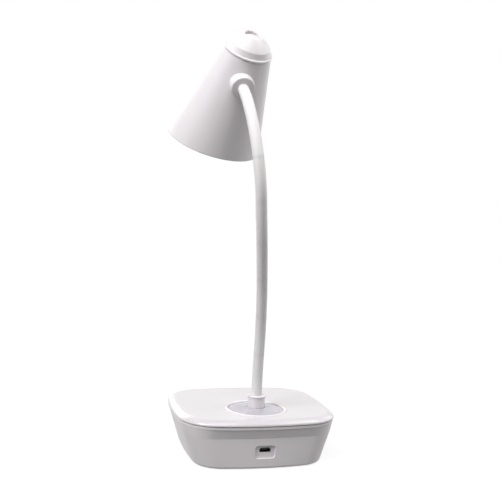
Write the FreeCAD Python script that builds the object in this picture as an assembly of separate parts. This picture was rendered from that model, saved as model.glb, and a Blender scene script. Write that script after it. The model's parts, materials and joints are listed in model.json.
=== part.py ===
import FreeCAD, Part
import math
import os

# A small white desk lamp: a squircle base with a drawer in its front, a bendable neck sleeved in
# silicone, and a conical shade with a push switch in its crown.
# Millimetres. The origin lies on the table under the middle of the base, +Z is up, -Y is the
# drawer's side and +Y the side with the charging socket.

V = FreeCAD.Vector
RUN = 0.3  # clearance between pieces that move past each other
FIT = 0.1  # clearance between pieces that are pushed together

# Base
BASE_WIDTH = 115.0
BASE_DEPTH = 98.0
BASE_CORNER = 26.5
SIDE_BULGE = 1.0
END_BULGE = 2.0
FOOT_HEIGHT = 0.5
SHELL_TOP = 30.0
SHELL_WALL = 2.2
RIM_HEIGHT = 1.8
RIM_INSET = 0.4
SIDE_TOP_INSET = 0.6
SIDE_TAPER = 10.5
END_TOP_INSET = 0.8
END_INSET = 2.7
CREASE_HEIGHT = 21.4
TOP_CORNER = 25.4
CREASE_CORNER = 21.0
BOTTOM_CORNER = 19.6
BOTTOM_ROUND = 1.6
POST_RADIUS = 3.6
POST_RIB = 2.0
POST_SIDE_SETBACK = 21.0
POST_END_SETBACK = 16.0
POST_HEIGHT = 12.0
PLATE_THICK = 2.0
PLATE_RECESS = 0.8

# Lid
LID_GAP = 0.5
LID_THICK = 3.9
LID_ROUND = 3.2
LID_WALL = 2.0
LID_EDGE_BAND = 1.6
LIP_DEPTH = 3.0
LIP_WALL = 1.6
NECK_SETBACK = 31.4
DISH_RADIUS = 19.7
DISH_DEPTH = 3.0
DISH_FLOOR = 2.0
BEZEL_WIDTH = 2.4
BEZEL_SEAT = 1.2
BEZEL_PROUD = 0.9
LENS_EDGE = 2.8
LENS_CENTRE = 4.5

# Neck
NECK_RADIUS = 3.85
LINK_LENGTH = 28.5
ROOT_LENGTH = 15.0
TIP_LENGTH = 11.9
TIP_NUT_RADIUS = 3.2
TIP_NUT_HEIGHT = 2.4
SPINE_TAIL = 1.0
BALL_RADIUS = 2.2
ROD_RADIUS = 1.1
SOCKET_WALL = 1.45
SOCKET_MOUTH = 64.0  # half angle of each socket's open mouth, degrees
BACK_LEAN = (0, 4, 13, 19, 20, 12, -9, -28, -46)  # each link's rest lean towards +Y, degrees
SIDE_LEAN = (0, 0, 4.1, 7.7, 8.9, 7.9, 7.2, 6.6, 5)  # each link's rest lean towards +X, degrees
COLLAR_HEIGHT = 10.0
COLLAR_RADIUS = 6.2
COLLAR_FLARE = 0.4
FLARE_HEIGHT = 2.2
STEM_RADIUS = 4.5
STEM_LENGTH = 10.0
NUT_FLATS = 12.0
NUT_HEIGHT = 4.0
WASHER_RADIUS = 7.5
WASHER_THICK = 1.0

# Drawer
DRAWER_SIDE_GAP = 1.2
DRAWER_LENGTH = 44.0
DRAWER_HEIGHT = 15.6
DRAWER_WALL = 1.5
DRAWER_CORNER = 2.5
HOUSING_WALL = 1.2
HOUSING_HEADROOM = 1.0
HOUSING_LIFT = 0.2
PAD_SIZE = 4.0
FRONT_REVEAL = 0.4
NOTCH_RADIUS = 12.0
NOTCH_DEPTH = 5.5

# Charging socket and electronics in the base
SOCKET_Z = 13.3
SOCKET_WIDTH = 7.6
SOCKET_HEIGHT = 2.7
SOCKET_LENGTH = 5.4
SOCKET_SHEET = 0.25
SOCKET_SLOT = 0.25
TONGUE_SET = 0.6
TONGUE_ROOT = 1.2
TONGUE_HALF = 0.9
TONGUE_LIFT = 0.1
RECESS_WIDTH = 14.2
RECESS_HEIGHT = 9.0
RECESS_DEPTH = 1.2
RECESS_ROUND = 1.8
RECESS_DROP = 1.2
BOARD_WIDTH = 34.0
BOARD_LENGTH = 13.0
BOARD_THICK = 1.2
BOARD_MARGIN = 3.5
PILLAR_RADIUS = 2.6
CHIP_SIZE = (4.0, 4.0, 1.4)
CHIP_X = -7.8
COIL_RADIUS = 2.2
COIL_HEIGHT = 2.6
COIL_X = 8.0
HEADER_SIZE = (7.0, 3.6, 4.0)
BALLAST_WIDTH = 62.0
BALLAST_THICK = 5.0
BALLAST_CORNER = 3.0
BALLAST_GAP = 1.5
BATTERY_WIDTH = 52.0
BATTERY_THICK = 6.0
BATTERY_MARGIN = 1.0
BATTERY_ROUND = 1.2
SCREW_RADIUS = 1.4
SCREW_HEAD = 2.7
SCREW_HEAD_HEIGHT = 1.3
SCREW_SLOT = 0.7
BOARD_SCREW_RADIUS = 1.0
BOARD_SCREW_HEAD = 2.2
BOARD_SCREW_LENGTH = 5.0
GRIP_WIDTH = 62.0
GRIP_END_SETBACK = 11.0
GRIP_CORNER = 9.0
GRIP_EDGE = 0.4

# Shade
SHADE_TILT = 39.3
SHADE_SWING = -12.6
BOSS_DROP = 16.05
BOSS_REACH = 25.64
BOSS_SWING = -10.8
BOSS_RADIUS = 8.4
BOSS_ROUND = 1.2
BOSS_BORE = 5.0
PAD_RADIUS = 5.2
PAD_DEPTH = 12.5
PAD_START = 4.0
BORE_LEAD = 3.0
CONE_TOP_RADIUS = 17.3
CONE_MOUTH_RADIUS = 35.7
CONE_LENGTH = 77.9
MOUTH_SLANT = 12.4  # the mouth is cut aslant, shortest on the neck's side, degrees
MOUTH_ROUND = 0.7
CONE_WALL = 1.8
CONE_TOP_DROP = 0.4
BEAD_RADIUS = 1.1
BEAD_PROUD = 0.4
CROWN_BAND_RADIUS = 16.2
CROWN_RIM_RADIUS = 14.6
CROWN_RIM_HEIGHT = 5.4
CROWN_DOME = 6.4
CROWN_WALL = 1.6
CROWN_SKIRT = 3.6
WELL_RADIUS = 5.9
BUTTON_TRAVEL = 1.0
BUTTON_RECESS = 2.1
BUTTON_HEAD = 3.2
BUTTON_FLANGE = 1.2
FLANGE_THICK = 1.0
STALK_RADIUS = 1.5
SWITCH_SIZE = 6.0
SWITCH_HEIGHT = 3.4
PLUNGER_RADIUS = 1.7
PLUNGER_HEIGHT = 1.6
DRIVER_THICK = 1.2
DRIVER_DROP = 1.9
LED_DROP = 34.0
LED_BOARD_THICK = 1.6
LEDGE_WIDTH = 3.2
LEDGE_THICK = 1.6
LED_COUNT = 9
LED_CIRCLE = 12.0
LED_SIZE = 3.4
LED_THICK = 0.8
LED_SCREW_HEAD = 1.5
LED_SCREW_HEIGHT = 0.9
DIFFUSER_DROP = 45.0
DIFFUSER_THICK = 2.0
REFLECTOR_WALL = 0.8
REFLECTOR_TOP = 16.0


# Shapes used by several pieces

def plan_wire(half_x, half_y, corner, z):
    """The base's plan at height z: four shallow side arcs joined by four corner arcs."""
    cx = half_x - corner - SIDE_BULGE
    cy = half_y - corner - END_BULGE
    centres = [V(cx, -cy, z), V(cx, cy, z), V(-cx, cy, z), V(-cx, -cy, z)]
    bulges = [SIDE_BULGE, END_BULGE, SIDE_BULGE, END_BULGE]
    sides = []
    for i in range(4):
        a = centres[i]
        b = centres[(i + 1) % 4]
        half = (b - a).Length / 2
        radius = (half * half + bulges[i] ** 2) / (2 * bulges[i])
        along = (b - a) * (0.5 / half)
        out = V(along.y, -along.x, 0)
        hub = (a + b) * 0.5 - out * (radius - bulges[i])
        start = hub + (a - hub) * ((radius + corner) / radius)
        end = hub + (b - hub) * ((radius + corner) / radius)
        sides.append((start, hub + out * (radius + corner), end))
    edges = []
    for i in range(4):
        start, middle, end = sides[i]
        edges.append(Part.Arc(start, middle, end).toShape())
        hub = centres[(i + 1) % 4]
        after = sides[(i + 1) % 4][0]
        bisector = (end - hub) + (after - hub)
        bisector.normalize()
        edges.append(Part.Arc(end, hub + bisector * corner, after).toShape())
    return Part.Wire(edges)


def plan_prism(inset, low, high):
    """An upright block with the lid's plan, drawn in by inset."""
    wire = plan_wire(BASE_WIDTH / 2 - inset, BASE_DEPTH / 2 - inset, BASE_CORNER - inset, low)
    return Part.Face(wire).extrude(V(0, 0, high - low))


def wall_wire(z, inset):
    """The wall's outer plan at height z, drawn in by inset.

    The side walls lean out evenly. The end walls are upright up to a crease and flare above it.
    """
    half_x = BASE_WIDTH / 2 - SIDE_TAPER + (SIDE_TAPER - SIDE_TOP_INSET) * z / wall_top
    flare = max(0, (z - CREASE_HEIGHT) / (wall_top - CREASE_HEIGHT))
    half_y = wall_y + (END_INSET - END_TOP_INSET) * flare
    if flare > 0:
        corner = CREASE_CORNER + (TOP_CORNER - CREASE_CORNER) * flare
    else:
        corner = BOTTOM_CORNER + (CREASE_CORNER - BOTTOM_CORNER) * z / CREASE_HEIGHT
    return plan_wire(half_x - inset, half_y - inset, corner - inset, z)


def wall_block(low, high, inset):
    """The wall's shape as a solid block from low to high, drawn in by inset."""
    if low < CREASE_HEIGHT < high:
        lower = wall_block(low, CREASE_HEIGHT, inset)
        return lower.fuse(wall_block(CREASE_HEIGHT, high, inset))
    return Part.makeLoft([wall_wire(low, inset), wall_wire(high, inset)], True, True)


def plate_block(inset, low, high):
    """An upright block with the outline of the shell's open bottom, drawn in by inset."""
    wire = wall_wire(plate_low, inset)
    wire.translate(V(0, 0, low - plate_low))
    return Part.Face(wire).extrude(V(0, 0, high - low))


def box(x0, x1, y0, y1, z0, z1):
    return Part.makeBox(x1 - x0, y1 - y0, z1 - z0, V(x0, y0, z0))


def rod(radius, start, end):
    return Part.makeCylinder(radius, (end - start).Length, start, end - start)


def ball(radius, centre):
    return Part.makeSphere(radius, centre)


def cone(r0, r1, start, end):
    return Part.makeCone(r0, r1, (end - start).Length, start, end - start)


def turned(points, centre=V(0, 0, 0)):
    """A solid of revolution about an upright line, from an outline of (radius, height) corners.

    A corner given as (radius, height, "through") is the middle of an arc between its neighbours.
    """
    edges = []
    at = [V(p[0], 0, p[1]) for p in points]
    count = len(points)
    i = 0
    while i < count:
        if len(points[(i + 1) % count]) == 3:
            edges.append(Part.Arc(at[i], at[(i + 1) % count], at[(i + 2) % count]).toShape())
            i += 2
        else:
            edges.append(Part.LineSegment(at[i], at[(i + 1) % count]).toShape())
            i += 1
    solid = Part.Face(Part.Wire(edges)).revolve(V(0, 0, 0), V(0, 0, 1), 360)
    solid.translate(centre)
    return solid


def hexagon(flats, low, high, centre):
    radius = flats / math.sqrt(3)
    turns = [math.radians(60 * i) for i in range(7)]
    corners = [V(radius * math.cos(a), radius * math.sin(a), low) for a in turns]
    solid = Part.Face(Part.makePolygon(corners)).extrude(V(0, 0, high - low))
    solid.translate(centre)
    return solid


def fused(shapes):
    solid = shapes[0].multiFuse(shapes[1:])
    return solid.removeSplitter()


# Heights and places that several pieces share

wall_top = SHELL_TOP - RIM_HEIGHT
wall_y = BASE_DEPTH / 2 - END_INSET
lid_low = SHELL_TOP + LID_GAP
lid_top = lid_low + LID_THICK
plate_low = FOOT_HEIGHT + PLATE_RECESS
plate_top = plate_low + PLATE_THICK
dish_z = lid_top - DISH_DEPTH
dish_under = dish_z - DISH_FLOOR
bezel_radius = DISH_RADIUS + BEZEL_WIDTH
neck_y = BASE_DEPTH / 2 - NECK_SETBACK
neck_base = V(0, neck_y, 0)
screw_seat = plate_low + SCREW_HEAD_HEIGHT + FIT
post_x = BASE_WIDTH / 2 - POST_SIDE_SETBACK
post_y = BASE_DEPTH / 2 - POST_END_SETBACK
corner_posts = [V(sx * post_x, sy * post_y, 0) for sx in (-1, 1) for sy in (-1, 1)]

housing_low = plate_top + HOUSING_LIFT
tray_low = housing_low + HOUSING_WALL + RUN
tray_top = tray_low + DRAWER_HEIGHT
housing_high = tray_top + HOUSING_HEADROOM + HOUSING_WALL
bay_half = post_x - POST_RADIUS - DRAWER_SIDE_GAP - HOUSING_WALL
drawer_half = bay_half - FRONT_REVEAL
tray_front = -(wall_y - SHELL_WALL)
tray_back = tray_front + DRAWER_LENGTH

recess_z = SOCKET_Z - RECESS_DROP
socket_front = wall_y - RECESS_DEPTH - SOCKET_SLOT
board_top = SOCKET_Z - SOCKET_HEIGHT / 2
board_low = board_top - BOARD_THICK
board_back = wall_y - SHELL_WALL - END_BULGE / 2 - RUN
board_front = board_back - BOARD_LENGTH
board_posts = [V(sx * (BOARD_WIDTH / 2 - BOARD_MARGIN), board_front + BOARD_MARGIN, 0) for sx in (-1, 1)]
ballast_y = tray_back + HOUSING_WALL + 2 * RUN + FIT
ballast_back = board_front - BALLAST_GAP


def link_direction(i):
    back = math.radians(BACK_LEAN[i])
    side = math.radians(SIDE_LEAN[i])
    return V(math.sin(side), math.cos(side) * math.sin(back), math.cos(side) * math.cos(back))


def neck_points():
    """The collar's top, the centre of each neck joint, and the neck's end at the shade."""
    points = [V(0, neck_y, lid_top + COLLAR_HEIGHT)]
    last = len(BACK_LEAN) - 1
    for i in range(last + 1):
        length = {0: ROOT_LENGTH, last: TIP_LENGTH}.get(i, LINK_LENGTH)
        points.append(points[-1] + link_direction(i) * length)
    return points


neck = neck_points()
neck_end = neck[-1]
tip_way = link_direction(len(BACK_LEAN) - 1)


def shade_frame():
    """Places the shade: its axis, and the point of the axis level with the cone's top."""
    tilt = math.radians(SHADE_TILT)
    swing = math.radians(SHADE_SWING)
    axis = V(math.sin(tilt) * math.sin(swing), math.sin(tilt) * math.cos(swing), math.cos(tilt))
    reach = axis * tip_way.dot(axis) - tip_way
    reach.normalize()
    reach = FreeCAD.Rotation(axis, BOSS_SWING).multVec(reach)
    centre = neck_end - reach * BOSS_REACH + axis * BOSS_DROP
    across = axis.cross(reach)
    turn = FreeCAD.Rotation(reach, across, axis, "ZXY")
    return FreeCAD.Placement(centre, turn)


shade_place = shade_frame()


def on_shade(solid):
    """Moves a piece drawn about an upright axis to its place in the tilted shade."""
    moved = solid.copy()
    moved.Placement = shade_place.multiply(moved.Placement)
    return moved


# Base pieces

def base_shell():
    """The tapered tub: a rim flange under the lid, thin walls, screw posts, drawer and socket holes."""
    outer = wall_block(FOOT_HEIGHT + BOTTOM_ROUND, wall_top, 0)
    layers = [outer, plan_prism(RIM_INSET, wall_top, SHELL_TOP)]
    steps = 4
    for i in range(steps):
        low_turn = math.pi / 2 * i / steps
        high_turn = math.pi / 2 * (i + 1) / steps
        low = FOOT_HEIGHT + BOTTOM_ROUND * (1 - math.cos(low_turn))
        high = FOOT_HEIGHT + BOTTOM_ROUND * (1 - math.cos(high_turn))
        low_wire = wall_wire(low, BOTTOM_ROUND * (1 - math.sin(low_turn)))
        high_wire = wall_wire(high, BOTTOM_ROUND * (1 - math.sin(high_turn)))
        layers.append(Part.makeLoft([low_wire, high_wire], True, True))
    body = fused(layers)
    inside = wall_block(plate_top, SHELL_TOP, SHELL_WALL)
    mouth = plate_block(SHELL_WALL, 0, plate_top)
    body = body.cut(inside).cut(mouth)
    posts = []
    for p in corner_posts:
        post = Part.makeCylinder(POST_RADIUS, POST_HEIGHT, V(p.x, p.y, plate_top))
        rib = box(0, 2 * SIDE_TAPER, -POST_RIB / 2, POST_RIB / 2, plate_top, plate_top + POST_HEIGHT)
        rib.rotate(V(0, 0, 0), V(0, 0, 1), math.degrees(math.atan2(p.y, p.x)))
        rib.translate(p)
        posts.append(post.fuse(rib).common(wall_block(plate_top, wall_top, SHELL_WALL / 2)))
    body = fused([body] + posts)
    for p in corner_posts:
        body = body.cut(Part.makeCylinder(SCREW_RADIUS, POST_HEIGHT, V(p.x, p.y, plate_top)))
    bay = box(-bay_half, bay_half, -BASE_DEPTH, tray_front + SHELL_WALL + END_BULGE,
              housing_low + HOUSING_WALL, housing_high - HOUSING_WALL)
    return body.cut(bay).cut(socket_recess())


def socket_recess():
    """The rounded pocket around the charging socket, with the socket's hole through the wall."""
    face = wall_y
    low = recess_z - RECESS_HEIGHT / 2
    pocket = box(-RECESS_WIDTH / 2, RECESS_WIDTH / 2, face - RECESS_DEPTH, face + RECESS_DEPTH,
                 low, low + RECESS_HEIGHT)
    along = [e for e in pocket.Edges if abs(e.tangentAt(e.FirstParameter).y) > 0.9]
    pocket = pocket.makeFillet(RECESS_ROUND, along)
    slot = socket_block(SOCKET_SLOT, face - SHELL_WALL - RUN, face)
    return pocket.fuse(slot)


def socket_block(grow, y0, y1):
    """A bar with the charging socket's outline: flat below, with its two upper corners cut off."""
    half = SOCKET_WIDTH / 2 + grow
    low = SOCKET_Z - SOCKET_HEIGHT / 2 - grow
    high = SOCKET_Z + SOCKET_HEIGHT / 2 + grow
    cut = SOCKET_HEIGHT * 0.4
    corners = [V(-half, y0, low), V(half, y0, low), V(half, y0, high - cut),
               V(half - cut, y0, high), V(cut - half, y0, high), V(-half, y0, high - cut)]
    face = Part.Face(Part.makePolygon(corners + corners[:1]))
    return face.extrude(V(0, y1 - y0, 0))


def top_cover():
    """The lid: rounded upper edge, hollow underside, locating lip and the round seat for the lens."""
    slab = plan_prism(0, lid_low, lid_top)
    upper = [e for e in slab.Edges if e.BoundBox.ZMin > lid_top - 0.01]
    slab = slab.makeFillet(LID_ROUND, upper)
    band = plan_prism(LID_EDGE_BAND, SHELL_TOP, lid_low)
    body = slab.fuse(band)
    lip_inset = SHELL_WALL + FIT
    lip = wall_block(SHELL_TOP - LIP_DEPTH, lid_low, lip_inset)
    body = body.fuse(lip)
    body = body.cut(wall_block(SHELL_TOP - LIP_DEPTH, lid_top - LID_WALL, lip_inset + LIP_WALL))
    boss = Part.makeCylinder(bezel_radius + 1, lid_top - 1 - dish_under, V(0, neck_y, dish_under))
    body = body.fuse(boss)
    body = body.cut(Part.makeCylinder(DISH_RADIUS, DISH_DEPTH + 1, V(0, neck_y, dish_z)))
    body = body.cut(Part.makeCylinder(bezel_radius + FIT / 2, BEZEL_SEAT + 1,
                                      V(0, neck_y, lid_top - BEZEL_SEAT)))
    body = body.cut(Part.makeCylinder(STEM_RADIUS + FIT, 2 * DISH_FLOOR, V(0, neck_y, dish_under - 1)))
    return body.removeSplitter()


def lens_bezel():
    """The raised ring that holds the lens down in the lid."""
    inner = DISH_RADIUS + FIT / 2
    low = lid_top - BEZEL_SEAT
    shoulder = lid_top
    middle = (inner + bezel_radius) / 2
    outline = [(inner, low), (bezel_radius, low), (bezel_radius, shoulder),
               (middle, shoulder + BEZEL_PROUD, "through"), (inner, shoulder)]
    return turned(outline, neck_base)


def dish_lens():
    """The pale grey lens round the collar, a low dome that rises towards the middle."""
    outer = DISH_RADIUS - FIT
    inner = COLLAR_RADIUS + RUN
    middle = (inner + outer) / 2
    crest = dish_z + LENS_CENTRE + (LENS_EDGE - LENS_CENTRE) * 0.3
    outline = [(inner, dish_z), (outer, dish_z), (outer, dish_z + LENS_EDGE),
               (middle, crest, "through"), (inner, dish_z + LENS_CENTRE)]
    return turned(outline, neck_base)


def neck_collar():
    """The flared socket that the neck stands in, with a threaded stem through the lid."""
    top = lid_top + COLLAR_HEIGHT
    flared = COLLAR_RADIUS + COLLAR_FLARE
    bore = NECK_RADIUS + FIT
    floor = lid_top - 1
    stem_low = dish_under - STEM_LENGTH
    outline = [(ROD_RADIUS + FIT / 2, stem_low), (STEM_RADIUS, stem_low), (STEM_RADIUS, dish_z),
               (COLLAR_RADIUS, dish_z), (COLLAR_RADIUS, top - FLARE_HEIGHT - 1),
               (COLLAR_RADIUS + 0.25 * COLLAR_FLARE, top - FLARE_HEIGHT / 2 - 0.6, "through"),
               (flared, top - 0.7), (flared, top - 0.3), (flared - 0.3, top),
               (bore, top), (bore, floor), (ROD_RADIUS + FIT / 2, floor)]
    return turned(outline, neck_base)


def collar_washer():
    low = dish_under - WASHER_THICK
    outline = [(STEM_RADIUS + FIT, low), (WASHER_RADIUS, low), (WASHER_RADIUS, dish_under),
               (STEM_RADIUS + FIT, dish_under)]
    return turned(outline, neck_base)


def collar_nut():
    high = dish_under - WASHER_THICK
    nut = hexagon(NUT_FLATS, high - NUT_HEIGHT, high, neck_base)
    return nut.cut(Part.makeCylinder(STEM_RADIUS + FIT / 2, NUT_HEIGHT,
                                     V(0, neck_y, high - NUT_HEIGHT)))


def bottom_plate():
    """The floor inside the shell, with screw holes and the board's two pillars."""
    body = plate_block(SHELL_WALL + FIT, plate_low, plate_top)
    for p in board_posts:
        pillar = Part.makeCylinder(PILLAR_RADIUS, board_low - plate_top, V(p.x, p.y, plate_top))
        body = body.fuse(pillar)
    for p in board_posts:
        body = body.cut(Part.makeCylinder(BOARD_SCREW_RADIUS, board_low, V(p.x, p.y, plate_top)))
    for p in corner_posts:
        body = body.cut(Part.makeCylinder(SCREW_RADIUS + FIT, 2 * PLATE_THICK, V(p.x, p.y, plate_low)))
        body = body.cut(Part.makeCylinder(SCREW_HEAD + FIT, screw_seat - plate_low,
                                          V(p.x, p.y, plate_low)))
    return body.removeSplitter()


def base_screws():
    """Four screws that hold the bottom plate to the shell's posts."""
    screws = []
    seat = screw_seat
    for p in corner_posts:
        head = Part.makeCylinder(SCREW_HEAD, SCREW_HEAD_HEIGHT, V(p.x, p.y, seat - SCREW_HEAD_HEIGHT))
        shank = Part.makeCylinder(SCREW_RADIUS - FIT / 2, POST_HEIGHT * 0.7, V(p.x, p.y, seat))
        slot = box(p.x - SCREW_HEAD * 0.7, p.x + SCREW_HEAD * 0.7, p.y - SCREW_SLOT / 2,
                   p.y + SCREW_SLOT / 2, seat - SCREW_HEAD_HEIGHT, seat - SCREW_HEAD_HEIGHT * 0.5)
        screws.append(fused([head, shank]).cut(slot))
    return Part.makeCompound(screws)


def grip_pad():
    """The one flat rubber pad under the bottom plate that the lamp stands on."""
    deep = BASE_DEPTH - 2 * GRIP_END_SETBACK
    block = box(-GRIP_WIDTH / 2, GRIP_WIDTH / 2, -deep / 2, deep / 2, 0, plate_low)
    upright = [e for e in block.Edges if abs(e.tangentAt(e.FirstParameter).z) > 0.9]
    block = block.makeFillet(GRIP_CORNER, upright)
    return block.makeFillet(GRIP_EDGE, [e for e in block.Edges if e.BoundBox.ZMax < GRIP_EDGE / 2])


def ballast_plate():
    """The steel weight on the bottom plate, between the drawer and the board."""
    block = box(-BALLAST_WIDTH / 2, BALLAST_WIDTH / 2, ballast_y, ballast_back,
                plate_top, plate_top + BALLAST_THICK)
    upright = [e for e in block.Edges if abs(e.tangentAt(e.FirstParameter).z) > 0.9]
    return block.makeFillet(BALLAST_CORNER, upright)


def battery_pack():
    low = plate_top + BALLAST_THICK
    block = box(-BATTERY_WIDTH / 2, BATTERY_WIDTH / 2, ballast_y + BATTERY_MARGIN,
                ballast_back - BATTERY_MARGIN, low, low + BATTERY_THICK)
    return block.makeFillet(BATTERY_ROUND, block.Edges)


def control_board():
    board = box(-BOARD_WIDTH / 2, BOARD_WIDTH / 2, board_front, board_back, board_low, board_top)
    for p in board_posts:
        board = board.cut(Part.makeCylinder(BOARD_SCREW_RADIUS + FIT, BOARD_THICK,
                                            V(p.x, p.y, board_low)))
    return board


def board_screws():
    screws = []
    for p in board_posts:
        shank = Part.makeCylinder(BOARD_SCREW_RADIUS - FIT / 2, BOARD_SCREW_LENGTH,
                                  V(p.x, p.y, board_top - BOARD_SCREW_LENGTH))
        head = Part.makeCylinder(BOARD_SCREW_HEAD, BOARD_SCREW_RADIUS, V(p.x, p.y, board_top))
        screws.append(shank.fuse(head))
    return Part.makeCompound(screws)


def board_chips():
    """The charging chip, its coil and the plug header on top of the board."""
    middle = (board_front + board_back) / 2
    wide, deep, thick = CHIP_SIZE
    chip = box(CHIP_X - wide / 2, CHIP_X + wide / 2, middle - deep / 2, middle + deep / 2,
               board_top, board_top + thick)
    coil = Part.makeCylinder(COIL_RADIUS, COIL_HEIGHT, V(COIL_X, middle, board_top))
    wide, deep, thick = HEADER_SIZE
    header = box(-wide / 2, wide / 2, board_front + RUN, board_front + RUN + deep,
                 board_top, board_top + thick)
    return Part.makeCompound([chip, coil, header])


def usb_shell():
    """The charging socket's folded steel case."""
    back = socket_front - SOCKET_LENGTH
    case = socket_block(0, back, socket_front)
    hollow = socket_block(-SOCKET_SHEET, back + SOCKET_SHEET, socket_front + 1)
    return case.cut(hollow)


def usb_tongue():
    """The plastic tongue with the contacts, inside the charging socket."""
    back = socket_front - SOCKET_LENGTH + SOCKET_SHEET
    half = SOCKET_WIDTH * 0.25
    root = box(-half * 1.2, half * 1.2, back, back + TONGUE_ROOT, SOCKET_Z - TONGUE_HALF,
               SOCKET_Z + TONGUE_HALF)
    blade = box(-half, half, back, socket_front - TONGUE_SET, SOCKET_Z + TONGUE_LIFT,
                SOCKET_Z + TONGUE_LIFT + TONGUE_SET)
    return root.fuse(blade).removeSplitter()


# Drawer pieces

def drawer_housing():
    """The fixed sleeve that the drawer slides in: floor, roof, two sides and a back."""
    outer = box(-bay_half - HOUSING_WALL, bay_half + HOUSING_WALL, tray_front,
                tray_back + RUN + HOUSING_WALL, housing_low, housing_high)
    inner = box(-bay_half, bay_half, tray_front - 1, tray_back + RUN,
                housing_low + HOUSING_WALL, housing_high - HOUSING_WALL)
    pads = [Part.makeCylinder(PAD_SIZE, HOUSING_LIFT, V(sx * bay_half / 2, tray_front + y, plate_top))
            for sx in (-1, 1) for y in (2 * PAD_SIZE, DRAWER_LENGTH - 2 * PAD_SIZE)]
    room = wall_block(housing_low, housing_high, SHELL_WALL + RUN)
    return fused([outer.cut(inner).common(room)] + pads)


def drawer_tray():
    """The drawer's open box."""
    half = drawer_half
    outer = box(-half, half, tray_front, tray_back, tray_low, tray_top)
    inner = box(-half + DRAWER_WALL, half - DRAWER_WALL, tray_front + DRAWER_WALL,
                tray_back - DRAWER_WALL, tray_low + DRAWER_WALL, tray_top + 1)
    upright = [e for e in inner.Edges if abs(e.tangentAt(e.FirstParameter).z) > 0.9]
    inner = inner.makeFillet(DRAWER_CORNER, upright)
    return outer.cut(inner)


def drawer_front():
    """The drawer's face, flush with the base's wall, with a half-moon finger notch in its top."""
    low = tray_low
    high = housing_high - HOUSING_WALL - FRONT_REVEAL
    slab = box(-drawer_half, drawer_half, -BASE_DEPTH, tray_front, low, high)
    face = slab.common(wall_block(FOOT_HEIGHT, CREASE_HEIGHT, 0))
    notch = Part.makeCylinder(NOTCH_RADIUS, BASE_DEPTH, V(0, tray_front, high + NOTCH_RADIUS - NOTCH_DEPTH),
                              V(0, -1, 0))
    return face.cut(notch)


# Neck pieces

def neck_sleeve(i):
    """One length of the silicone sleeve: a socket at its lower end and a hollow at its upper."""
    start = neck[i]
    end = neck[i + 1]
    way = link_direction(i)
    first = i == 0
    last = i == len(BACK_LEAN) - 1
    shoulder = NECK_RADIUS + 0.25
    channel = rod(ROD_RADIUS + FIT / 2, start - way * ROOT_LENGTH, end + way * ROOT_LENGTH)
    low = V(0, neck_y, lid_top - 1 + FIT) if first else start
    high = end + way * (BOSS_BORE - FIT) if last else end
    body = rod(NECK_RADIUS, low, high)
    if not first:
        root = rod(NECK_RADIUS, start - way * shoulder, start + way)
        body = body.fuse(root.common(ball(shoulder, start))).removeSplitter()
        mouth = (BALL_RADIUS + SOCKET_WALL + 1) / math.cos(math.radians(SOCKET_MOUTH))
        depth = mouth * math.cos(math.radians(SOCKET_MOUTH))
        width = mouth * math.sin(math.radians(SOCKET_MOUTH))
        body = body.cut(ball(BALL_RADIUS + RUN, start))
        body = body.cut(cone(0, width, start, start - way * depth))
    if not last:
        body = body.cut(ball(shoulder + RUN, end))
    return body.cut(channel)


def neck_spine(i):
    """One steel rod inside the sleeve, with the ball of the joint above it."""
    start = neck[i]
    end = neck[i + 1]
    way = link_direction(i)
    if i == 0:
        low = V(0, neck_y, dish_under - STEM_LENGTH)
        return rod(ROD_RADIUS, low, end).fuse(ball(BALL_RADIUS, end)).removeSplitter()
    low = start + way * (BALL_RADIUS + 2 * RUN)
    if i == len(BACK_LEAN) - 1:
        return rod(ROD_RADIUS, low, end + way * (PAD_DEPTH + TIP_NUT_HEIGHT + SPINE_TAIL))
    return rod(ROD_RADIUS, low, end).fuse(ball(BALL_RADIUS, end)).removeSplitter()


# Shade pieces, drawn upright about the shade's axis unless they belong to the neck's socket

def cone_radius(drop):
    """The cone's outer radius at a distance below the crown's seat."""
    share = (drop - CONE_TOP_DROP) / (CONE_LENGTH - CONE_TOP_DROP)
    return CONE_TOP_RADIUS + (CONE_MOUTH_RADIUS - CONE_TOP_RADIUS) * share


def inner_radius(drop):
    return cone_radius(drop) - CONE_WALL


def mouth_cutter():
    """A block whose upper face is the slanted plane of the shade's mouth."""
    size = 4 * CONE_MOUTH_RADIUS
    block = box(-size / 2, size / 2, -size / 2, size / 2, -size, 0)
    block.rotate(V(0, 0, 0), V(0, 1, 0), -MOUTH_SLANT)
    block.translate(V(0, 0, -CONE_LENGTH))
    return block


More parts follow.
